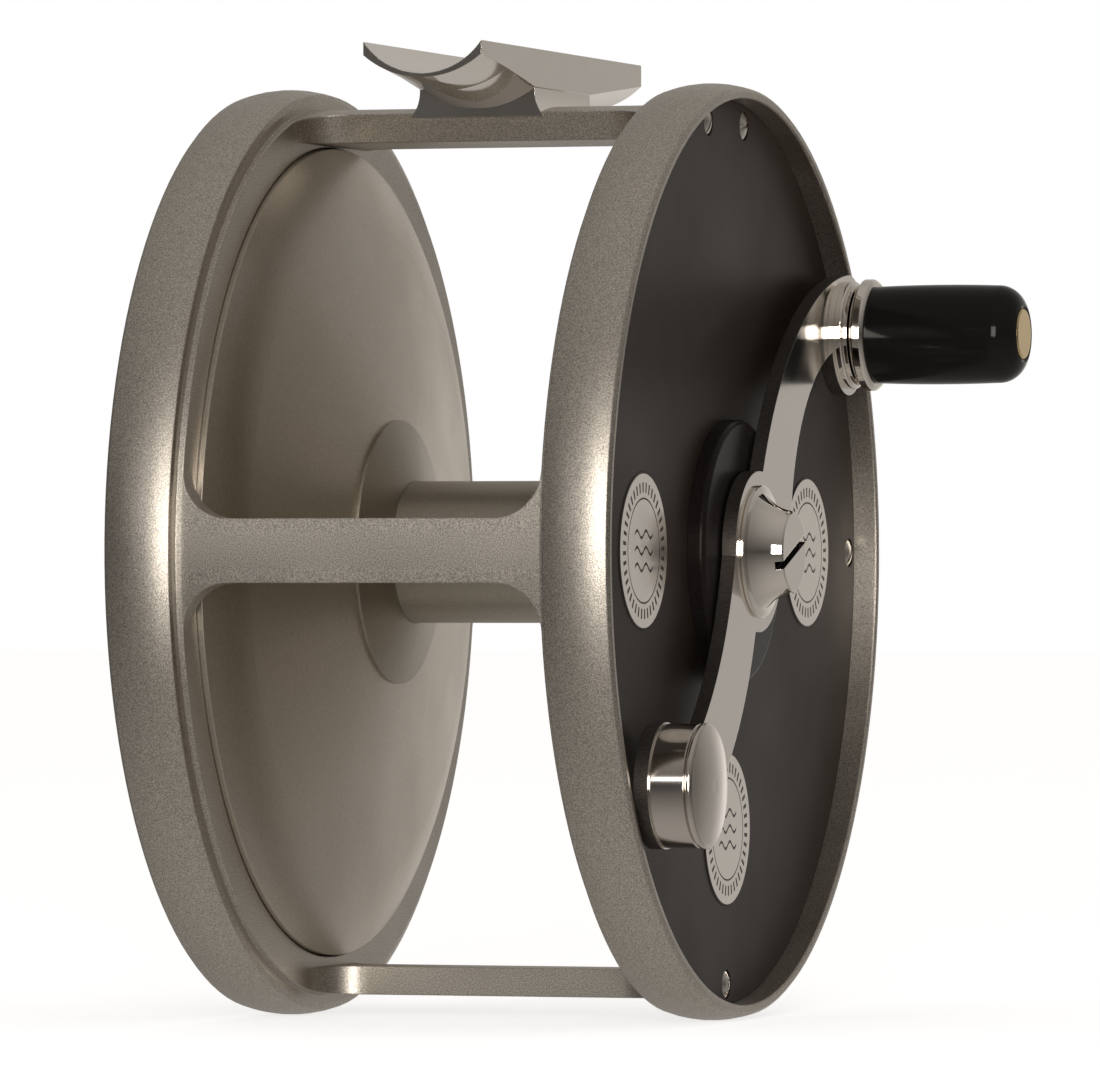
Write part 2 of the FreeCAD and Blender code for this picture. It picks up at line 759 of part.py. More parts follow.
def make_housing(end, x, rotation):
    """A bearing housing: a round flange on the plate and a barrel inside it. The rear one is
    closed and carries the drag knob's stud."""
    top = "housing_flange_thickness"
    seat = "-housing_barrel_depth + bearing_inset + bearing_width"
    web = "housing_flange_thickness - housing_web"
    outline = [
        ("housing_flange_radius", "0"),
        ("housing_flange_radius", top + " - housing_flange_round"),
        ("housing_flange_radius - housing_flange_round", top, "housing_flange_round", -1)]
    if end == "front":
        outline += [("housing_web_bore", top), ("housing_web_bore", web)]
    else:
        tap = top + " + stud_height - stud_tap_depth"
        outline += [
            ("stud_radius", top),
            ("stud_radius", top + " + stud_height"),
            ("stud_tap_radius", top + " + stud_height"),
            ("stud_tap_radius", tap),
            ("0", tap),
            ("0", web)]
    outline += [
        ("housing_bore", web),
        ("housing_bore", seat),
        ("bearing_radius", seat),
        ("bearing_radius", "-housing_barrel_depth"),
        ("housing_barrel_radius", "-housing_barrel_depth"),
        ("housing_barrel_radius", "0")]
    body = turned(end + "_housing_body", outline)
    if end == "rear":
        spots = [on_circle("push_pin_circle", degrees) + ("push_pin_hole",)
                 for degrees in PUSH_PIN_ANGLES]
        pocketed(body, "housing_push_holes", lambda sketch: draw_circles(sketch, spots),
                 "housing_flange_thickness + 2 * cut_over",
                 "housing_flange_thickness + cut_over")
    keep(place(body, x, rotation=rotation), end + "_bearing_housing")


def make_bearing(end, x, rotation):
    """A ball bearing; its inner end is at the body's origin."""
    rings = (("outer", "bearing_radius - bearing_ring", "bearing_radius"),
             ("inner", "spindle_radius", "spindle_radius + bearing_ring"))
    for part, bore, radius in rings:
        body = turned("%s_%s_race_body" % (end, part), [
            (bore, "0"),
            (radius, "0"),
            (radius, "bearing_width"),
            (bore, "bearing_width")])
        keep(place(body, x, rotation=rotation), "%s_bearing_%s_race" % (end, part))
    balls = []
    ball_count = 9
    middle = " + bearing_width / 2" if end == "front" else " - bearing_width / 2"
    for index in range(ball_count):
        ball = doc.addObject("Part::Sphere", "%s_ball_%d" % (end, index + 1))
        ball.Radius = value("ball_radius")
        ball.setExpression("Radius", linked("ball_radius"))
        across, up = on_circle("ball_circle", 360 / ball_count * index)
        balls.append(place(ball, x + middle, across, up + " - axis_drop", UPRIGHT))
    group(end + "_bearing_balls", balls)


# ---- spool ----

def make_flange(end, x, rotation):
    """A dished spool flange with its hub collar; +Z of the body points away from the arbor."""
    thickness = "flange_thickness"
    body = turned(end + "_flange_body", [
        ("spindle_radius", "0"),
        ("flange_flat_radius", "0"),
        ("flange_cone_radius", "flange_cone_rise"),
        ("flange_rim_radius", "flange_rim_rise", "flange_shoulder", -1),
        ("flange_rim_radius", "flange_rim_rise + " + thickness),
        ("flange_back_radius", "flange_back_rise"),
        ("flange_flat_radius", thickness),
        ("spindle_radius", thickness)])
    keep(place(body, x, rotation=rotation), end + "_spool_flange")
    collar = turned(end + "_collar_body", [
        ("arbor_radius", "0"),
        ("arbor_radius", "-collar_height"),
        ("flange_flat_radius", "-collar_edge"),
        ("flange_flat_radius", "0")])
    keep(place(collar, x, rotation=rotation), end + "_hub_collar")


def make_spool():
    """Spindle, arbor, both flanges, click wheel and drag disc, all turning together."""
    rear_root = "front_face - cage_length + flange_root"
    front_root = "front_face - flange_root"
    make_flange("front", front_root, FRONT)
    make_flange("rear", rear_root, REAR)
    arbor = turned("arbor_body", [
        ("arbor_bore", "0"),
        ("arbor_radius", "0"),
        ("arbor_radius", "cage_length - 2 * flange_root"),
        ("arbor_bore", "cage_length - 2 * flange_root")])
    keep(place(arbor, rear_root), "spool_arbor")

    rear_end = "front_face - cage_length + plate_setback + spindle_rear_clearance"
    full = "(" + CRANK_BACK + " + crank_thickness) - (" + rear_end + ")"
    spindle = turned("spindle_body", [
        ("0", "0"),
        ("spindle_radius - spindle_bevel", "0"),
        ("spindle_radius", "spindle_bevel"),
        ("spindle_radius", full),
        ("spindle_thread_radius", full),
        ("spindle_thread_radius", full + " + spindle_thread_length"),
        ("0", full + " + spindle_thread_length")])
    keep(place(spindle, rear_end), "spindle")

    wheel = new_body("click_wheel_body")
    padded(wheel, "click_wheel_disc",
           lambda sketch: draw_circles(sketch, [("0", "0", "click_radius"),
                                                ("0", "0", "spindle_radius")]),
           "click_thickness", reverse=True)
    padded(wheel, "click_wheel_hub",
           lambda sketch: draw_circles(sketch, [("0", "0", "click_hub_radius"),
                                                ("0", "0", "spindle_radius")]),
           "click_hub_length", reverse=True)
    tooth_gap = pocketed(wheel, "click_tooth_gap",
                         lambda sketch: draw_outline(sketch, [
                             ("click_radius - click_tooth_depth", "0"),
                             ("click_radius + click_tooth_depth", "-2 * click_tooth_half"),
                             ("click_radius + click_tooth_depth", "2 * click_tooth_half")]),
                         "click_thickness + cut_over")
    polar(wheel, "click_teeth_gaps", tooth_gap, "click_teeth")
    keep(place(wheel, "front_face - click_setback"), "click_wheel")

    disc = new_body("drag_disc_body")
    padded(disc, "drag_disc_plate",
           lambda sketch: draw_circles(sketch, [("0", "0", "drag_disc_radius"),
                                                ("0", "0", "drag_hub_bore")]),
           "drag_disc_thickness", reverse=True)
    padded(disc, "drag_disc_hub",
           lambda sketch: draw_circles(sketch, [("0", "0", "drag_hub_radius"),
                                                ("0", "0", "drag_hub_bore")]),
           "drag_hub_length", reverse=True)
    keep(place(disc, "front_face - cage_length + drag_disc_setback", rotation=REAR),
         "drag_disc")


# ---- click pawl ----

def make_click():
    """The click: a pawl on a post behind the front plate, held in the teeth by a leaf spring."""
    pawl = new_body("click_pawl_body")
    padded(pawl, "pawl_lever", lambda sketch: draw_outline(sketch, [
        ("-pawl_tip_half", "-pawl_nose_tip"),
        ("-pawl_nose_half", "-pawl_nose_root"),
        ("-pawl_nose_half", "-pawl_drop + pawl_heel_rise"),
        ("pawl_side - pawl_back_inset", "-pawl_drop - pawl_eye_radius + turned_edge"),
        ("pawl_side", "-pawl_drop + pawl_eye_radius - pawl_top_drop"),
        ("pawl_nose_half", "-pawl_nose_root"),
        ("pawl_tip_half", "-pawl_nose_tip")]), "pawl_thickness", reverse=True)
    padded(pawl, "pawl_eye", lambda sketch: draw_circles(sketch, [
        ("pawl_side", "-pawl_drop", "pawl_eye_radius")]), "pawl_thickness", reverse=True)
    pocketed(pawl, "pawl_pivot_hole", lambda sketch: draw_circles(sketch, [
        ("pawl_side", "-pawl_drop", "pawl_bore")]), "pawl_thickness + cut_over")
    keep(place(pawl, "front_face - pawl_setback"), "click_pawl")

    inner_face = "front_face - plate_setback - plate_thickness"
    neck = "-post_foot_length - post_neck_length"
    post = turned("pawl_post_body", [
        ("0", "0"),
        ("0", neck + " - post_head_thickness"),
        ("post_head_radius", neck + " - post_head_thickness"),
        ("post_head_radius", neck),
        ("post_radius", neck),
        ("post_radius", "-post_foot_length"),
        ("post_foot_radius", "-post_foot_length"),
        ("post_foot_radius", "0")])
    keep(place(post, inner_face, "pawl_side", "-pawl_drop - axis_drop"), "pawl_post")

    spring = new_body("click_spring_body")
    padded(spring, "spring_block", lambda sketch: draw_outline(sketch, [
        ("-spring_block_side", "-spring_block_drop"),
        ("-spring_root", "-spring_block_drop"),
        ("-spring_root", "-spring_top"),
        ("-spring_block_side", "-spring_top")]), "spring_block_length", reverse=True)
    padded(spring, "spring_leaf", lambda sketch: draw_outline(sketch, [
        ("-spring_root - spring_overlap", "-spring_top - spring_thickness"),
        ("-spring_tip", "-spring_top - spring_thickness"),
        ("-spring_tip", "-spring_top"),
        ("-spring_root - spring_overlap", "-spring_top")]), "spring_block_length", reverse=True)
    pocketed(spring, "spring_leaf_waist", lambda sketch: draw_outline(sketch, [
        ("-spring_root", "-spring_top - 2 * spring_thickness"),
        ("0", "-spring_top - 2 * spring_thickness"),
        ("0", "-spring_top + spring_thickness"),
        ("-spring_root", "-spring_top + spring_thickness")]),
        "spring_block_length - spring_width")
    keep(place(spring, inner_face), "click_spring")


# ---- drag ----

KNOB_SCREW_TURN = 20


def make_drag():
    """The drag: a knob outside, a pressure plate with a friction ring inside, and pins between."""
    rear_face = "front_face - cage_length"
    plate = turned("pressure_plate_body", [
        ("pressure_bore", "0"),
        ("pressure_bore", "-pressure_thickness"),
        ("pressure_radius", "-pressure_thickness"),
        ("pressure_radius", "0")])
    keep(place(plate, rear_face + " + pressure_setback", rotation=REAR), "pressure_plate")
    ring = turned("friction_ring_body", [
        ("friction_bore", "0"),
        ("friction_bore", "-friction_thickness"),
        ("pressure_radius - friction_inset", "-friction_thickness"),
        ("pressure_radius - friction_inset", "0")])
    keep(place(ring, rear_face + " + pressure_setback + pressure_thickness", rotation=REAR),
         "friction_ring")
    pins = []
    length = "pressure_setback - plate_setback + housing_flange_thickness + push_pin_tail"
    for index, degrees in enumerate(PUSH_PIN_ANGLES):
        pin = doc.addObject("Part::Cylinder", "push_pin_%d" % (index + 1))
        pin.Radius = value("push_pin_radius")
        pin.setExpression("Radius", linked("push_pin_radius"))
        pin.Height = value(length)
        pin.setExpression("Height", linked(length))
        across, up = on_circle("push_pin_circle", degrees)
        pins.append(place(pin, rear_face + " + pressure_setback", "-" + across,
                          up + " - axis_drop", REAR))
    group("push_pins", pins)

    housing_face = rear_face + " + plate_setback - housing_flange_thickness"
    knob = turned("drag_knob_body", [
        ("knob_bore", "0"),
        ("knob_flange_radius - knob_bevel", "0"),
        ("knob_flange_radius", "knob_bevel"),
        ("knob_flange_radius", "knob_flange_height"),
        ("knob_flange_radius - knob_bevel", "knob_flange_height + knob_bevel"),
        ("knob_radius - knob_shoulder_inset", "knob_flange_height + knob_bevel"),
        ("knob_radius - knob_crown_inset", "knob_height - knob_crown_drop",
         "knob_shoulder_round", -1),
        ("knob_radius - knob_face_inset", "knob_height", "knob_crown_round", -1),
        ("knob_recess_radius", "knob_height"),
        ("knob_recess_radius", "knob_height - knob_recess_depth"),
        ("knob_bore", "knob_height - knob_recess_depth")])
    flute = pocketed(knob, "knob_flute", lambda sketch: draw_circles(sketch, [
        ("knob_flange_radius + knob_flute_offset", "0", "knob_flute_radius")]),
        "knob_height", "knob_height - cut_over")
    polar(knob, "knob_flutes_all_round", flute, "knob_flutes")
    keep(place(knob, housing_face + " - knob_gap", rotation=REAR), "drag_knob")

    screw = slotted_screw("knob_screw_body", "knob_screw_head", "knob_screw_thickness",
                          "stud_tap_radius", "stud_tap_depth - knob_screw_gap", "knob_screw_slot",
                          "knob_screw_slot_depth", KNOB_SCREW_TURN)
    keep(place(screw, housing_face + " - stud_height", rotation=REAR), "knob_screw")


# ---- crank ----

CRANK_BACK = "front_face - plate_setback + housing_flange_thickness + crank_gap"


def draw_crank_arms(sketch):
    """Both arms of the S, edge to edge; the hub and the round eyes cover their ends."""
    draw_outline(sketch, [
        ("arm_root_side", "arm_root_rise"),
        ("handle_side - eye_top_side", "handle_rise + eye_top_rise", "handle_arm_outer", 1),
        ("handle_side - eye_join_side", "handle_rise - eye_join_rise"),
        ("handle_heel_side", "handle_heel_rise", "handle_arm_inner", -1),
        ("handle_toe_side", "handle_toe_rise", "handle_toe_radius", 1),
        ("-arm_root_side", "-arm_root_rise"),
        ("weight_side + eye_top_side", "weight_rise - eye_top_rise", "weight_arm_outer", 1),
        ("weight_side + eye_join_side", "weight_rise + eye_join_rise"),
        ("weight_heel_side", "weight_heel_rise", "weight_arm_inner", -1)])


def make_crank():
    """The S-shaped crank plate."""
    body = new_body("crank_body")
    padded(body, "crank_arms", draw_crank_arms, "crank_thickness")
    for name, across, up, radius in (
            ("crank_hub", "0", "0", "crank_hub_radius"),
            ("crank_handle_eye", "handle_side", "handle_rise", "eye_radius"),
            ("crank_weight_eye", "weight_side", "weight_rise", "eye_radius")):
        padded(body, name, lambda sketch: draw_circles(sketch, [(across, up, radius)]),
               "crank_thickness")
    pocketed(body, "crank_holes", lambda sketch: draw_circles(sketch, [
        ("0", "0", "spindle_radius"),
        ("handle_side", "handle_rise", "pin_radius"),
        ("weight_side", "weight_rise", "weight_rivet_radius")]))
    keep(place(body, CRANK_BACK), "crank")


def make_crank_nut():
    """The trumpet-shaped nut that holds the crank on the spindle."""
    body = turned("crank_nut_body", [
        ("spindle_thread_radius", "0"),
        ("nut_flange_radius - nut_bevel", "0"),
        ("nut_flange_radius", "nut_bevel"),
        ("nut_flange_radius", "nut_flange_thickness - nut_bevel"),
        ("nut_flange_radius - turned_edge", "nut_flange_thickness"),
        ("nut_root_radius", "nut_flange_thickness + nut_bevel"),
        ("nut_face_radius", "nut_height - turned_edge", "nut_cove", 1),
        ("nut_face_radius - turned_edge", "nut_height"),
        ("0", "nut_height"),
        ("0", "spindle_thread_length"),
        ("spindle_thread_radius", "spindle_thread_length")])
    pocketed(body, "nut_slot_cut",
             lambda sketch: draw_slot_box(sketch, "nut_root_radius", "nut_slot / 2"),
             "nut_slot_depth + cut_over", "nut_height + cut_over", value("nut_slot_tilt"))
    keep(place(body, CRANK_BACK + " + crank_thickness"), "crank_nut")


def make_handle():
    """The handle: a boss fixed to the crank, a ferrule and grip that turn, and their pin."""
    y, z = "handle_side", "handle_rise - axis_drop"
    front = CRANK_BACK + " + crank_thickness"
    boss = turned("handle_boss_body", [
        ("pin_radius", "0"),
        ("boss_collar_radius", "0"),
        ("boss_collar_radius", "boss_collar_height - boss_collar_round"),
        ("boss_collar_radius - boss_collar_round", "boss_collar_height",
         "boss_collar_round", -1),
        ("boss_neck_radius", "boss_collar_height"),
        ("boss_neck_radius", "boss_height"),
        ("pin_radius", "boss_height")])
    keep(place(boss, front, y, z), "handle_boss")

    bore = "pin_radius + pin_clearance"
    ferrule = turned("handle_ferrule_body", [
        (bore, "0"),
        ("boss_neck_radius", "0"),
        ("ferrule_radius", "ferrule_round", "ferrule_cove", 1),
        ("ferrule_radius", "ferrule_length - ferrule_round"),
        ("knob_grip_radius + ferrule_lip", "ferrule_length", "ferrule_shoulder", -1),
        (bore, "ferrule_length")])
    ferrule_start = front + " + boss_height + running_gap"
    keep(place(ferrule, ferrule_start, y, z), "handle_ferrule")

    end = "knob_grip_length"
    grip = turned("handle_knob_body", [
        (bore, "0"),
        ("knob_grip_radius - turned_edge", "0"),
        ("knob_grip_radius - knob_grip_taper", end + " - knob_grip_end_round",
         "knob_grip_swell", -1),
        ("pin_head_radius + knob_grip_mouth", end, "knob_grip_end_round", -1),
        ("pin_head_radius + pin_clearance", end + " - turned_edge"),
        ("pin_head_radius + pin_clearance", end + " - pin_head_thickness - pin_head_play"),
        (bore, end + " - pin_head_thickness - pin_head_play")])
    keep(place(grip, ferrule_start + " + ferrule_length", y, z), "handle_knob")

    total = ("crank_thickness + boss_height + running_gap + ferrule_length"
             " + knob_grip_length + pin_proud")
    pin = turned("handle_pin_body", [
        ("0", "-pin_rivet_thickness"),
        ("pin_rivet_radius", "-pin_rivet_thickness"),
        ("pin_rivet_radius", "0"),
        ("pin_radius", "0"),
        ("pin_radius", total + " - pin_head_thickness"),
        ("pin_head_radius", total + " - pin_head_thickness"),
        ("pin_head_radius", total + " - turned_edge"),
        ("pin_head_radius - turned_edge", total),
        ("0", total)])
    keep(place(pin, CRANK_BACK, y, z), "handle_pin")


def make_counterweight():
    """The drum that balances the handle, its domed cap and the rivet that holds it."""
    y, z = "weight_side", "weight_rise - axis_drop"
    front = CRANK_BACK + " + crank_thickness"
    drum = turned("weight_drum_body", [
        ("0", "weight_rivet_reach"),
        ("weight_rivet_radius", "weight_rivet_reach"),
        ("weight_rivet_radius", "0"),
        ("weight_radius - weight_groove", "0"),
        ("weight_radius - weight_groove", "weight_groove"),
        ("weight_radius", "weight_groove"),
        ("weight_radius", "weight_length - weight_groove"),
        ("weight_radius - weight_groove", "weight_length"),
        ("0", "weight_length")])
    keep(place(drum, front, y, z), "counterweight_drum")
    cap = turned("weight_cap_body", [
        ("0", "0"),
        ("weight_cap_radius - turned_edge", "0"),
        ("weight_cap_radius", "turned_edge"),
        ("weight_cap_radius", "weight_cap_length - weight_cap_edge"),
        ("weight_cap_radius - weight_cap_edge", "weight_cap_length", "weight_cap_edge", -1),
        ("weight_cap_flat", "weight_cap_length + weight_cap_rise", "weight_cap_dome", -1),
        ("0", "weight_cap_length + weight_cap_rise")])
    keep(place(cap, front + " + weight_length", y, z), "counterweight_cap")
    total = "crank_thickness + weight_rivet_reach"
    rivet = turned("weight_rivet_body", [
        ("0", "-weight_rivet_thickness"),
        ("weight_rivet_head", "-weight_rivet_thickness"),
        ("weight_rivet_head", "0"),
        ("weight_rivet_radius", "0"),
        ("weight_rivet_radius", total),
        ("0", total)])
    keep(place(rivet, CRANK_BACK, y, z), "counterweight_rivet")


# ---- the whole reel ----

def build():
    foot_screws = make_foot_screws()
    foot = make_foot(foot_screws)
    make_cage(foot, foot_screws)
    front_plate = "front_face - plate_setback"
    rear_plate = "front_face - cage_length + plate_setback"
    make_plate("front", front_plate, FRONT, medallions=True, push_holes=False)
    make_plate("rear", rear_plate, REAR, medallions=False, push_holes=True)
    make_medallions()
    make_housing("front", front_plate, FRONT)
    make_housing("rear", rear_plate, REAR)
    make_bearing("front", front_plate + " - housing_barrel_depth + bearing_inset", FRONT)
    make_bearing("rear", rear_plate + " + housing_barrel_depth - bearing_inset", REAR)
    make_spool()
    make_click()
    make_drag()
    make_crank()
    make_crank_nut()
    make_handle()
    make_counterweight()


def check():
    """Stops on any failed object or bad shape, before anything is written."""
    doc.recompute()
    for obj in doc.Objects:
        if "Invalid" in obj.State or "Error" in obj.State:
            raise RuntimeError("%s: %s" % (obj.Name, obj.State))
    labels = [obj.Label for obj in nodes]
    if len(set(labels)) != len(labels):
        raise RuntimeError("two pieces share a name")
    for obj in nodes:
        if obj.Shape.isNull() or not obj.Shape.isValid():
            raise RuntimeError(obj.Label + " has a bad shape")


def write():
    os.makedirs("parts", exist_ok=True)
    for obj in nodes:
        obj.Shape.exportStep("parts/%s.step" % obj.Label)
        print("%-24s %9.1f mm3  %d solid(s)"
              % (obj.Label, obj.Shape.Volume, len(obj.Shape.Solids)))


build()
check()
write()
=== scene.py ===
"""Looks for the fly reel: procedural metals, engraved medallions, the studio and the camera."""

import math

import bpy
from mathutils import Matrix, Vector


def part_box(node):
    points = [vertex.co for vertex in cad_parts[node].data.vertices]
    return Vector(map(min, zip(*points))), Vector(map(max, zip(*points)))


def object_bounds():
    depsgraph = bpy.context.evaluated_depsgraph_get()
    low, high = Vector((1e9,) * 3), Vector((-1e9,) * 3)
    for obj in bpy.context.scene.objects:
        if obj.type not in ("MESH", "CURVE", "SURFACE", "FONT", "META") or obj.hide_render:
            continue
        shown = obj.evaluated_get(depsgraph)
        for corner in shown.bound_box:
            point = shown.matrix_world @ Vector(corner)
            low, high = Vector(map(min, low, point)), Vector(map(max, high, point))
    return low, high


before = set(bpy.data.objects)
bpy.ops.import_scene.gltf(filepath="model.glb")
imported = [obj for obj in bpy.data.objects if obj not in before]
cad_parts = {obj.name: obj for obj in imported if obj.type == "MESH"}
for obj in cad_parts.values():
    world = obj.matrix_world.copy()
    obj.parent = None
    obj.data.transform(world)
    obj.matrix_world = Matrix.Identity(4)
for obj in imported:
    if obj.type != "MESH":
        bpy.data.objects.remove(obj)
cad_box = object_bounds()

MM = 0.001


# ---- node helpers ----

class Surface:
    """One material with a Principled shader, built up node by node in object space."""

    MID_NOISE = (0.3, 0.7)          # the band that most of a noise's values fall in
    BEVEL_SAMPLES = 4

    def __init__(self, name, color, metallic, roughness):
        self.material = bpy.data.materials.new(name)
        self.material.use_nodes = True
        self.tree = self.material.node_tree
        self.shader = self.tree.nodes["Principled BSDF"]
        self.set("Base Color", (*color, 1.0))
        self.set("Metallic", metallic)
        self.set("Roughness", roughness)
        self.color = color
        self.place = self.node("ShaderNodeTexCoord").outputs["Object"]
        self.facing = None

    def node(self, kind, **settings):
        made = self.tree.nodes.new(kind)
        for key, item in settings.items():
            setattr(made, key, item)
        return made

    def link(self, source, target):
        self.tree.links.new(source, target)

    def feed(self, socket, source):
        """Drives one of the shader's inputs."""
        self.link(source, self.shader.inputs[socket])

    def set(self, socket, setting):
        self.shader.inputs[socket].default_value = setting

    def math(self, operation, first, second=0.0):
        made = self.node("ShaderNodeMath", operation=operation)
        for index, item in enumerate((first, second)):
            if isinstance(item, (int, float)):
                made.inputs[index].default_value = item
            else:
                self.link(item, made.inputs[index])
        return made.outputs[0]

    def near(self, source, middle, reach):
        """1 where source is within reach of middle, else 0."""
        made = self.node("ShaderNodeMath", operation="COMPARE")
        self.link(source, made.inputs[0])
        made.inputs[1].default_value = middle
        made.inputs[2].default_value = reach
        return made.outputs[0]

    def separated(self, source):
        made = self.node("ShaderNodeSeparateXYZ")
        self.link(source, made.inputs[0])
        return made.outputs

    def length(self, side, rise):
        """The length of a two-dimensional vector."""
        squares = self.math("ADD", self.math("POWER", side, 2.0), self.math("POWER", rise, 2.0))
        return self.math("POWER", squares, 0.5)

    def noise(self, size, detail=2.0, stretch=(1.0, 1.0, 1.0)):
        """Noise whose features are about size metres across, longer where stretch is small."""
        mapping = self.node("ShaderNodeMapping")
        mapping.inputs["Scale"].default_value = stretch
        self.link(self.place, mapping.inputs["Vector"])
        made = self.node("ShaderNodeTexNoise")
        made.inputs["Scale"].default_value = 1.0 / size
        made.inputs["Detail"].default_value = detail
        self.link(mapping.outputs[0], made.inputs["Vector"])
        return made.outputs["Fac"]

    def rescale(self, source, band, start=0.0, stop=1.0):
        """Maps the band of source onto start..stop, clamped."""
        made = self.node("ShaderNodeMapRange", clamp=True)
        self.link(source, made.inputs["Value"])
        for key, number in (("From Min", band[0]), ("From Max", band[1]),
                            ("To Min", start), ("To Max", stop)):
            made.inputs[key].default_value = number
        return made.outputs["Result"]

    def mix(self, factor, first, second):
        """A colour between first and second; either may be a colour or a socket."""
        made = self.node("ShaderNodeMix", data_type="RGBA")
        self.link(factor, made.inputs[0])
        for index, item in ((6, first), (7, second)):
            if isinstance(item, tuple):
                made.inputs[index].default_value = (*item, 1.0)
            else:
                self.link(item, made.inputs[index])
        return made.outputs[2]

    def tint(self, factor, amount):
        """Varies the base colour by up to amount, as factor goes from 0 to 1."""
        darker = tuple(channel * (1.0 - amount) for channel in self.color)
        lighter = tuple(min(1.0, channel * (1.0 + amount)) for channel in self.color)
        self.feed("Base Color", self.mix(factor, darker, lighter))

    def roughen(self, factor, low, high):
        self.feed("Roughness", self.rescale(factor, self.MID_NOISE, low, high))

    def bump(self, height, distance, strength):
        """Adds a bump of that height in metres over any earlier one."""
        made = self.node("ShaderNodeBump")
        made.inputs["Strength"].default_value = strength
        made.inputs["Distance"].default_value = distance
        self.link(height, made.inputs["Height"])
        if self.facing is not None:
            self.link(self.facing, made.inputs["Normal"])
        self.facing = made.outputs[0]
        self.feed("Normal", self.facing)

    def soften_edges(self, radius):
        """Rounds sharp edges by that radius in metres, as polishing or blasting does."""
        made = self.node("ShaderNodeBevel", samples=self.BEVEL_SAMPLES)
        made.inputs["Radius"].default_value = radius
        self.facing = made.outputs[0]
        self.feed("Normal", self.facing)


# ---- colours ----

PEWTER = (0.53, 0.49, 0.435)
SPOOL_GREY = (0.62, 0.565, 0.485)
ARBOR_GREY = (0.44, 0.40, 0.335)
NICKEL = (0.80, 0.75, 0.69)
WARM_NICKEL = (0.63, 0.58, 0.53)
CRANK_STEEL = (0.78, 0.74, 0.69)
EDGE_DARK = (0.085, 0.074, 0.067)
EDGE_LIGHT = (0.125, 0.110, 0.099)
MEDALLION_SILVER = (0.90, 0.85, 0.79)
ENGRAVED = (0.10, 0.09, 0.085)
# painted shade: near-black for the inside of the crank nut's slot
SLOT_SHADE = (0.035, 0.029, 0.024)
SCREW_STEEL = (0.80, 0.76, 0.71)
STEEL = (0.68, 0.66, 0.63)
BLUED_STEEL = (0.25, 0.25, 0.29)
BRASS = (0.80, 0.60, 0.30)
PLATE_BLACK = (0.020, 0.014, 0.011)
HOUSING_BLACK = (0.009, 0.0075, 0.007)
HANDLE_BLACK = (0.008, 0.0075, 0.007)
WARM_SHEEN = (1.0, 0.86, 0.78, 1.0)
PAD_BROWN = (0.08, 0.07, 0.06)


# ---- materials ----

AXIS_DROP = -sum(corner.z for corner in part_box("spindle")) / 2


def blasted(name, color, roughness, grain):
    """Bead-blasted aluminium: a fine dimpled skin with faint patches of tone."""
    patch_size = 14 * MM
    patch_swing = 0.04
    dimple_band = (0.38, 0.62)
    dimple_tint = 0.30
    dimple_depth = 0.03 * MM
    skin = Surface(name, color, 1.0, roughness)
    skin.soften_edges(0.25 * MM)
    dimples = skin.noise(grain, detail=1.0)
    patches = skin.noise(patch_size, detail=3.0)
    skin.tint(skin.rescale(dimples, dimple_band), dimple_tint)
    skin.roughen(patches, roughness - patch_swing, roughness + patch_swing)
    skin.bump(dimples, dimple_depth, strength=0.55)
    return skin


def spun(name, color, roughness):
    """Turned aluminium with very fine rings about the spindle."""
    ring_pitch = 0.35 * MM
    ring_height = 0.002 * MM
    grain_size = 0.3 * MM
    grain_depth = 0.02 * MM
    grain_tint = 0.07
    patch_size = 18 * MM
    patch_swing = 0.04
    skin = Surface(name, color, 1.0, roughness)
    skin.soften_edges(0.2 * MM)
    _, y, z = skin.separated(skin.place)
    radius = skin.length(y, skin.math("ADD", z, AXIS_DROP))
    rings = skin.math("SINE", skin.math("MULTIPLY", radius, 2 * math.pi / ring_pitch))
    grain = skin.noise(grain_size, detail=1.0)
    patches = skin.noise(patch_size, detail=3.0)
    skin.tint(skin.rescale(grain, skin.MID_NOISE), grain_tint)
    skin.roughen(patches, roughness - patch_swing, roughness + patch_swing)
    skin.bump(grain, grain_depth, strength=0.35)
    skin.bump(rings, ring_height, strength=0.25)
    return skin


def satin_black(name, color, roughness, shine):
    """Black anodised metal with a dry, slightly grained face."""
    grain_size = 0.28 * MM
    grain_depth = 0.02 * MM
    grain_tint = 0.25
    patch_size = 22 * MM
    patch_swing = 0.05
    skin = Surface(name, color, 0.0, roughness)
    skin.set("Specular IOR Level", shine)
    skin.set("Specular Tint", WARM_SHEEN)
    skin.soften_edges(0.15 * MM)
    grain = skin.noise(grain_size, detail=1.0)
    patches = skin.noise(patch_size, detail=3.0)
    skin.tint(skin.rescale(grain, skin.MID_NOISE), grain_tint)
    skin.roughen(patches, roughness - patch_swing, roughness + patch_swing)
    skin.bump(grain, grain_depth, strength=0.5)
    return skin


def polished(name, color, roughness, brush=(1.0, 1.0, 1.0), edge=0.12 * MM):
    """Mirror-polished metal with a trace of haze and hairline marks."""
    haze_size = 6 * MM
    haze_tint = 0.03
    clearest = 0.7 * roughness
    haziest = 1.5 * roughness
    hairline_size = 0.5 * MM
    hairline_depth = 0.004 * MM
    skin = Surface(name, color, 1.0, roughness)
    skin.soften_edges(edge)
    haze = skin.noise(haze_size, detail=4.0)
    hairlines = skin.noise(hairline_size, stretch=brush)
    skin.tint(haze, haze_tint)
    skin.roughen(haze, clearest, haziest)
    skin.bump(hairlines, hairline_depth, strength=0.15)
    return skin


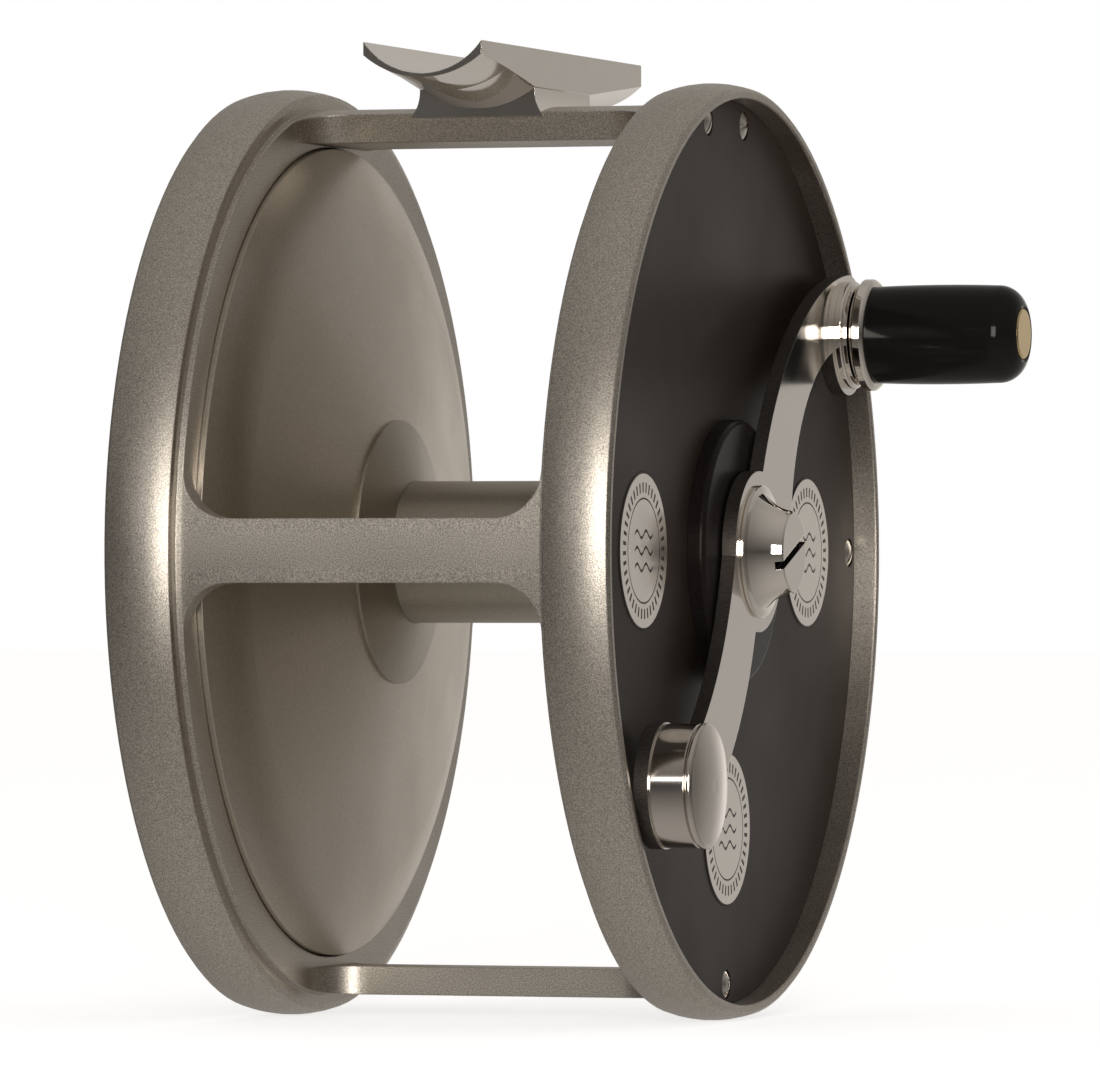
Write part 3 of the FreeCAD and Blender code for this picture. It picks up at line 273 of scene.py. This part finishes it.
def crank_metal(name):
    """Polished faces, and edges coloured much darker and duller, with fine marks across them."""
    face_gloss = (0.08, 0.16)
    edge_dulling = 0.38
    face_tilt = (0.55, 0.75)        # how squarely a surface faces along X, edge to face
    mark_size = 0.16 * MM
    mark_band = (0.35, 0.65)
    mark_depth = 0.015 * MM
    haze_size = 5 * MM
    skin = Surface(name, CRANK_STEEL, 1.0, face_gloss[0])
    skin.soften_edges(0.10 * MM)
    across = skin.separated(skin.node("ShaderNodeTexCoord").outputs["Normal"])[0]
    on_edge = skin.rescale(skin.math("ABSOLUTE", across), face_tilt, 1.0, 0.0)
    marks = skin.noise(mark_size, stretch=(0.3, 1.0, 1.0))
    # surfaces that do not face along X take a near-black colour with the marks in it
    edge_tone = skin.mix(skin.rescale(marks, mark_band), EDGE_DARK, EDGE_LIGHT)
    skin.feed("Base Color", skin.mix(on_edge, skin.color, edge_tone))
    haze = skin.noise(haze_size, detail=4.0)
    gloss = skin.rescale(haze, skin.MID_NOISE, *face_gloss)
    skin.feed("Roughness", skin.math("ADD", gloss, skin.math("MULTIPLY", on_edge, edge_dulling)))
    skin.bump(skin.math("MULTIPLY", marks, on_edge), mark_depth, strength=0.5)
    return skin


def nut_metal(name, box):
    """Polished metal for the crank nut, with painted shade colouring the inside of its
    screwdriver slot dark.
    """
    slot_tilt = math.radians(20.0)
    slot_depth = 0.9 * MM
    slot_half_width = 0.47 * MM
    slot_lip = 0.03 * MM            # stays bright, just under the nut's face
    skin = polished(name, NICKEL, 0.05)
    x, y, z = skin.separated(skin.place)
    low, high = box
    side = skin.math("SUBTRACT", y, (low.y + high.y) / 2)
    rise = skin.math("SUBTRACT", z, (low.z + high.z) / 2)
    across = skin.math("SUBTRACT", skin.math("MULTIPLY", rise, math.cos(slot_tilt)),
                       skin.math("MULTIPLY", side, math.sin(slot_tilt)))
    sunk = skin.near(x, high.x - slot_depth / 2 - slot_lip, (slot_depth + slot_lip) / 2)
    inside = skin.math("MULTIPLY", skin.near(across, 0.0, slot_half_width), sunk)
    # Painted shade: the inside of the slot is coloured near-black, standing in for the shade in
    # the recess.
    skin.feed("Base Color", skin.mix(inside, NICKEL, SLOT_SHADE))
    return skin


def engraving(skin, center):
    """1 in the marks cut into a medallion: ticks, a thin ring, three ripples and a border."""
    tick_count = 40
    tick_radius = 6.9 * MM
    tick_half_length = 0.55 * MM
    tick_sharpness = 0.35           # a tick is where a sine is above this
    ring_radius = 5.7 * MM
    ring_half_width = 0.09 * MM
    border_radius = 8.42 * MM
    ripple_length = 3.2 * MM
    ripple_height = 0.4 * MM
    ripple_half_gap = 0.9 * MM
    ripple_half_width = 0.16 * MM
    ripples_half_side = 3.2 * MM
    ripples_half_rise = 2.4 * MM
    _, y, z = skin.separated(skin.place)
    side = skin.math("SUBTRACT", y, center.y)
    rise = skin.math("SUBTRACT", z, center.z)
    radius = skin.length(side, rise)
    turn = skin.math("ARCTAN2", rise, side)
    spokes = skin.math("SINE", skin.math("MULTIPLY", turn, float(tick_count)))
    ticks = skin.math("MULTIPLY", skin.near(radius, tick_radius, tick_half_length),
                      skin.math("GREATER_THAN", spokes, tick_sharpness))
    ring = skin.near(radius, ring_radius, ring_half_width)
    swing = skin.math("SINE", skin.math("MULTIPLY", side, 2 * math.pi / ripple_length))
    height = skin.math("SUBTRACT", rise, skin.math("MULTIPLY", swing, ripple_height))
    lines = skin.math("LESS_THAN", skin.math("PINGPONG", height, ripple_half_gap),
                      ripple_half_width)
    within = skin.math("MULTIPLY", skin.near(side, 0.0, ripples_half_side),
                       skin.near(rise, 0.0, ripples_half_rise))
    ripples = skin.math("MULTIPLY", lines, within)
    border = skin.math("GREATER_THAN", radius, border_radius)
    marks = skin.math("MAXIMUM", skin.math("MAXIMUM", ticks, ring), ripples)
    return skin.math("MAXIMUM", marks, border)


def medallion_metal(name, center):
    """A polished disc, dark and dull where it is engraved, with no lettering."""
    face_gloss = (0.09, 0.17)
    engraved_dulling = 0.3
    engraved_depth = 0.05 * MM
    haze_size = 4 * MM
    skin = Surface(name, MEDALLION_SILVER, 1.0, face_gloss[0])
    engraved = engraving(skin, center)
    skin.feed("Base Color", skin.mix(engraved, skin.color, ENGRAVED))
    haze = skin.noise(haze_size, detail=4.0)
    gloss = skin.rescale(haze, skin.MID_NOISE, *face_gloss)
    skin.feed("Roughness", skin.math("ADD", gloss,
                                     skin.math("MULTIPLY", engraved, engraved_dulling)))
    skin.bump(skin.math("SUBTRACT", 1.0, engraved), engraved_depth, strength=0.5)
    return skin


def gloss_black(name):
    """The turned handle: deep gloss black with faint turning lines."""
    gloss = (0.10, 0.15)
    haze_size = 5 * MM
    line_size = 0.25 * MM
    line_depth = 0.004 * MM
    skin = Surface(name, HANDLE_BLACK, 0.0, gloss[0])
    skin.set("Specular IOR Level", 0.09)
    skin.set("Coat Weight", 0.06)
    skin.set("Coat Roughness", 0.05)
    haze = skin.noise(haze_size, detail=4.0, stretch=(0.4, 1.0, 1.0))
    skin.roughen(haze, *gloss)
    lines = skin.noise(line_size, detail=1.0, stretch=(1.0, 0.05, 0.05))
    skin.bump(lines, line_depth, strength=0.3)
    return skin


def friction_pad(name):
    """Pressed friction material, fibrous and matt."""
    fibre_size = 0.6 * MM
    fibre_depth = 0.05 * MM
    fibre_tint = 0.5
    skin = Surface(name, PAD_BROWN, 0.0, 0.85)
    fibres = skin.noise(fibre_size, detail=4.0)
    skin.tint(fibres, fibre_tint)
    skin.bump(fibres, fibre_depth, strength=0.6)
    return skin


# Hairlines run along the axis whose brush number is small.
ALONG_X = (0.2, 1.0, 1.0)
ALONG_Y = (1.0, 0.2, 1.0)

SKINS = {
    blasted("cage_metal", PEWTER, 0.40, grain=0.14 * MM): ["cage"],
    spun("spool_metal", SPOOL_GREY, 0.40): ["front_spool_flange", "rear_spool_flange"],
    spun("arbor_metal", ARBOR_GREY, 0.42): ["front_hub_collar", "rear_hub_collar",
                                            "spool_arbor"],
    satin_black("black_plate", PLATE_BLACK, 0.42, shine=0.19): ["front_plate", "rear_plate"],
    satin_black("black_housing", HOUSING_BLACK, 0.26, shine=0.10): [
        "front_bearing_housing", "rear_bearing_housing"],
    polished("foot_metal", NICKEL, 0.06, brush=(1.0, 0.08, 1.0), edge=0.05 * MM): ["reel_foot"],
    polished("crank_fittings", NICKEL, 0.05): [
        "handle_boss", "handle_ferrule", "counterweight_rivet", "drag_knob"],
    polished("counterweight_metal", WARM_NICKEL, 0.13): ["counterweight_drum",
                                                         "counterweight_cap"],
    nut_metal("crank_nut_metal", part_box("crank_nut")): ["crank_nut"],
    crank_metal("crank_metal"): ["crank"],
    polished("screw_steel", SCREW_STEEL, 0.24, brush=ALONG_Y, edge=0.06 * MM): [
        "foot_screws", "front_plate_screws", "rear_plate_screws", "knob_screw"],
    polished("bearing_steel", STEEL, 0.20, brush=ALONG_X): [
        "front_bearing_outer_race", "front_bearing_balls", "front_bearing_inner_race",
        "rear_bearing_outer_race", "rear_bearing_balls", "rear_bearing_inner_race",
        "spindle", "click_wheel", "click_pawl", "pawl_post", "push_pins", "drag_disc",
        "pressure_plate"],
    polished("spring_steel", BLUED_STEEL, 0.25): ["click_spring"],
    gloss_black("black_handle"): ["handle_knob"],
    polished("brass_pin", BRASS, 0.18, brush=(1.0, 0.3, 1.0)): ["handle_pin"],
    friction_pad("friction_pad"): ["friction_ring"],
}
MEDALLIONS = ("near_medallion", "far_medallion", "low_medallion")


def dress(node, skin):
    """Gives every material slot of a CAD node the same finish."""
    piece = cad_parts[node]
    if not piece.material_slots:
        piece.data.materials.append(skin.material)
    for item in piece.material_slots:
        item.material = skin.material


def dress_all():
    for skin, names in SKINS.items():
        for node in names:
            dress(node, skin)
    for node in MEDALLIONS:
        low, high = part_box(node)
        dress(node, medallion_metal(node + "_metal", (low + high) / 2))


# ---- studio ----

FLOOR_RADIUS = 6.0
FLOOR_GLOW = 0.70
PAPER_WHITE = (0.92, 0.93, 0.94)
WHITE = (1.0, 1.0, 1.0)
AIR_TONE = (1.0, 0.955, 0.90)
SIDE_LIGHT = 0.07                   # from every direction
FIELD_LIGHT = 1.0                   # what the camera sees past everything
FROM_BELOW, FROM_ABOVE = 0.36, 0.34  # added where the studio's floor and ceiling are
# how bright the studio is at each closeness to the backdrop's middle, from beside it to on it
BACKDROP_FALL = ((0.0, 0.0), (0.60, 0.03), (0.80, 0.12), (0.95, 0.32), (0.985, 0.56), (1.0, 0.9))


def make_floor(height):
    """A plain pale floor. Its own glow keeps it pale without more light on the reel."""
    mesh = bpy.data.meshes.new("studio_floor")
    corners = ((-1, -1), (1, -1), (1, 1), (-1, 1))
    mesh.from_pydata([(FLOOR_RADIUS * x, FLOOR_RADIUS * y, 0.0) for x, y in corners], [],
                     [(0, 1, 2, 3)])
    floor = bpy.data.objects.new("studio_floor", mesh)
    floor.location.z = height
    floor.visible_glossy = False
    bpy.context.scene.collection.objects.link(floor)
    paper = Surface("studio_paper", PAPER_WHITE, 0.0, 0.9)
    paper.set("Specular IOR Level", 0.0)
    paper.set("Emission Color", (*WHITE, 1.0))
    paper.set("Emission Strength", FLOOR_GLOW)
    floor.data.materials.append(paper.material)


def area_light(name, at, aim, size, power, tone):
    lamp = bpy.data.lights.new(name, "AREA")
    lamp.shape = "RECTANGLE"
    lamp.size, lamp.size_y = size
    lamp.energy = power
    lamp.color = tone
    thing = bpy.data.objects.new(name, lamp)
    thing.location = at
    thing.rotation_euler = (Vector(aim) - Vector(at)).to_track_quat("-Z", "Y").to_euler()
    bpy.context.scene.collection.objects.link(thing)


class Air:
    """The world's shader tree, built up like a Surface."""

    def __init__(self, name):
        self.world = bpy.data.worlds.new(name)
        self.world.use_nodes = True
        self.tree = self.world.node_tree

    def math(self, operation, first, second=0.0):
        made = self.tree.nodes.new("ShaderNodeMath")
        made.operation = operation
        for index, item in enumerate((first, second)):
            if isinstance(item, float):
                made.inputs[index].default_value = item
            else:
                self.tree.links.new(item, made.inputs[index])
        return made.outputs[0]

    def ramp(self, source, stops):
        """Maps source through (place, shade) stops of grey."""
        made = self.tree.nodes.new("ShaderNodeValToRGB")
        elements = made.color_ramp.elements
        while len(elements) < len(stops):
            elements.new(0.5)
        for element, (place, shade) in zip(elements, stops):
            element.position = place
            element.color = (shade, shade, shade, 1.0)
        self.tree.links.new(source, made.inputs[0])
        return made.outputs[0]

    def rescale(self, source, low, high, start, stop):
        made = self.tree.nodes.new("ShaderNodeMapRange")
        for key, number in (("From Min", low), ("From Max", high),
                            ("To Min", start), ("To Max", stop)):
            made.inputs[key].default_value = number
        self.tree.links.new(source, made.inputs["Value"])
        return made.outputs[0]


def make_air():
    """Soft light from all round: a lit backdrop behind the reel, a dim floor and ceiling, and a
    plain white field where the camera looks past everything."""
    air = Air("studio_air")
    nodes, links = air.tree.nodes, air.tree.links
    split = nodes.new("ShaderNodeSeparateXYZ")
    links.new(nodes.new("ShaderNodeTexCoord").outputs["Generated"], split.inputs[0])
    backdrop = air.ramp(split.outputs["Y"], BACKDROP_FALL)
    share = air.rescale(split.outputs["Z"], -1.0, 1.0, FROM_BELOW, FROM_ABOVE)
    lift = air.math("MULTIPLY", air.math("ABSOLUTE", split.outputs["Z"]), share)
    light = air.math("ADD", air.math("ADD", lift, backdrop), SIDE_LIGHT)
    glow = nodes["Background"]
    glow.inputs["Color"].default_value = (*AIR_TONE, 1.0)
    links.new(light, glow.inputs["Strength"])
    field = nodes.new("ShaderNodeBackground")
    field.inputs["Color"].default_value = (*WHITE, 1.0)
    field.inputs["Strength"].default_value = FIELD_LIGHT
    choice = nodes.new("ShaderNodeMixShader")
    links.new(nodes.new("ShaderNodeLightPath").outputs["Is Camera Ray"], choice.inputs[0])
    links.new(glow.outputs[0], choice.inputs[1])
    links.new(field.outputs[0], choice.inputs[2])
    links.new(choice.outputs[0], nodes["World Output"].inputs["Surface"])
    bpy.context.scene.world = air.world


def make_studio(center, floor_height):
    make_floor(floor_height)
    make_air()
    area_light("front_box", center + Vector((0.42, -1.42, 0.14)), center,
               size=(0.50, 0.60), power=11.0, tone=AIR_TONE)
    area_light("window", center + Vector((-0.40, -1.22, 0.26)), center,
               size=(0.24, 0.13), power=0.36, tone=WHITE)


# ---- camera ----

CAMERA_PLACE = Vector((0.35895, -1.07945, -0.06473))
CAMERA_FORWARD = Vector((-0.31134, 0.95029, 0.0052))
CAMERA_LENS = 330.6
SENSOR_WIDTH = 36.0
NEAREST_VIEW = 10 * MM


def make_camera():
    lens = bpy.data.cameras.new("photo_camera")
    lens.lens = CAMERA_LENS
    lens.sensor_width = SENSOR_WIDTH
    lens.clip_start = NEAREST_VIEW
    camera = bpy.data.objects.new("photo_camera", lens)
    camera.location = CAMERA_PLACE
    camera.rotation_euler = CAMERA_FORWARD.to_track_quat("-Z", "Y").to_euler()
    bpy.context.scene.collection.objects.link(camera)
    bpy.context.scene.camera = camera


dress_all()
low, high = (Vector(corner) for corner in cad_box)
make_studio((low + high) / 2, low.z)
make_camera()
bpy.context.scene.view_settings.view_transform = "Standard"
